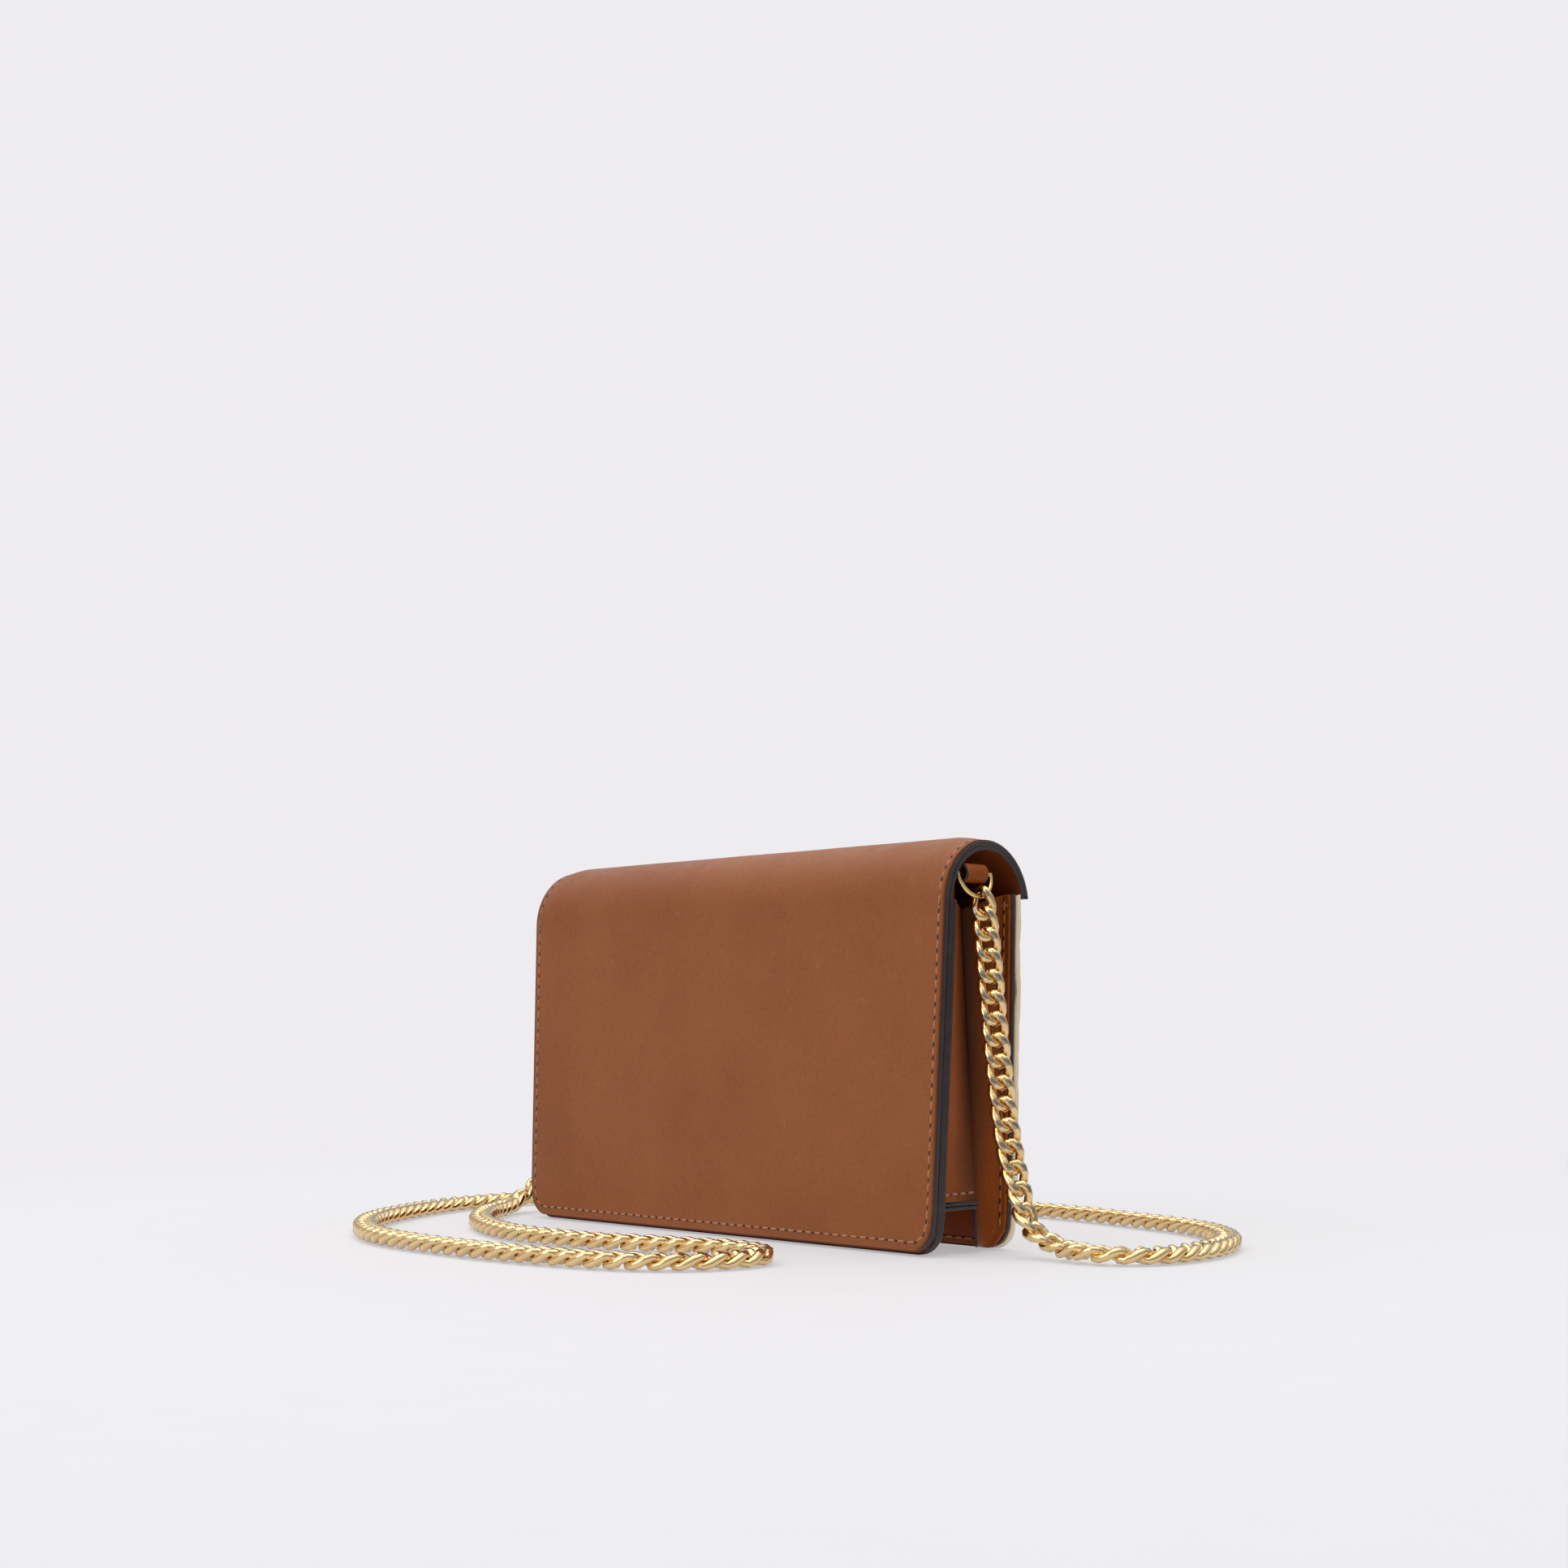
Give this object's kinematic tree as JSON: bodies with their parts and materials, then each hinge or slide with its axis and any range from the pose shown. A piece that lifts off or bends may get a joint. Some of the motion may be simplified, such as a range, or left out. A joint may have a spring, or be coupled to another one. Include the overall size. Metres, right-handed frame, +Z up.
{
  "type": "chain wallet",
  "caption": "Slim leather flap wallet on a curb-chain strap: rounded fold-over flap with magnetic snap, V-fold gussets, embossed metallic front, card slots and zipped coin pocket.",
  "frame": {"origin": "centre of the footprint, on the floor, without the chain", "axes": "+Z up, the flap and the metallic front face -Y, the plain rear panel faces +Y, width along X"},
  "size_m": [0.2946, 0.2301, 0.1194],
  "materials": {
    "leather_tan": "smooth tan calf, fine grain, dark painted edges",
    "lining_brown": "plain darker brown lining leather",
    "edge_board": "stiffening board with espresso edge paint",
    "gold_leather": "embossed pale gold metallic leather",
    "gold_metal": "polished light gold plate",
    "zip_tape": "woven zip tape",
    "pocket_cloth": "twill pocket lining",
    "magnet_steel": "plated ring magnet"
  },
  "bodies": {
    "root": {"back_leather": "leather_tan", "back_core": "edge_board", "back_lining": "lining_brown", "wall_leather": "leather_tan", "wall_core": "edge_board", "wall_lining": "lining_brown", "base_leather": "leather_tan", "base_lining": "lining_brown", "gusset_left": "leather_tan", "gusset_right": "leather_tan", "card_slot_left_1": "lining_brown", "card_slot_left_2": "lining_brown", "card_slot_left_3": "lining_brown", "card_slot_right_1": "lining_brown", "card_slot_right_2": "lining_brown", "card_slot_right_3": "lining_brown", "coin_pocket": "pocket_cloth", "zip_tape_front": "zip_tape", "zip_tape_rear": "zip_tape", "zip_teeth_front": "gold_metal", "zip_teeth_rear": "gold_metal", "zip_stops": "gold_metal", "ring_tab_left": "leather_tan", "ring_tab_right": "leather_tan", "chain_strap": "gold_metal"},
    "flap": {"flap_leather": "leather_tan", "flap_core": "edge_board", "flap_lining": "lining_brown", "snap_stud": "gold_metal"},
    "front": {"front_panel": "gold_leather", "front_core": "edge_board", "front_lining": "leather_tan", "snap_socket": "gold_metal", "snap_magnet": "magnet_steel"},
    "ring_left": {"d_ring_left": "gold_metal"},
    "ring_right": {"d_ring_right": "gold_metal"},
    "slider": {"zip_slider": "gold_metal"},
    "puller": {"zip_puller": "gold_metal"}
  },
  "joints": [
    {"name": "flap_open", "type": "hinge", "parent": "root", "child": "flap", "pos_m": [0, 0.0169, 0.09985], "axis": [-1, 0, 0], "range_deg": [0, 175]},
    {"name": "front_open", "type": "hinge", "parent": "root", "child": "front", "pos_m": [0, -0.0168, 0.014], "axis": [1, 0, 0], "range_deg": [0, 5.95], "deforming": ["gusset_left", "gusset_right"]},
    {"name": "ring_left_swing", "type": "hinge", "parent": "root", "child": "ring_left", "pos_m": [-0.0968, 0.0034, 0.1093], "axis": [0, 1, 0], "range_deg": [-30, 55]},
    {"name": "ring_right_swing", "type": "hinge", "parent": "root", "child": "ring_right", "pos_m": [0.0968, 0.0034, 0.1093], "axis": [0, -1, 0], "range_deg": [-30, 55]},
    {"name": "zip_slide", "type": "slide", "parent": "root", "child": "slider", "axis": [1, 0, 0], "range_m": [0, 0.132]},
    {"name": "puller_turn", "type": "hinge", "parent": "slider", "child": "puller", "pos_m": [-0.065, 0.0021, 0.0963], "axis": [0, -1, 0], "range_deg": [0, 160]}
  ],
  "couplings": [
    {"joint": "front_open", "follows": "flap_open", "ratio": 0.034}
  ]
}
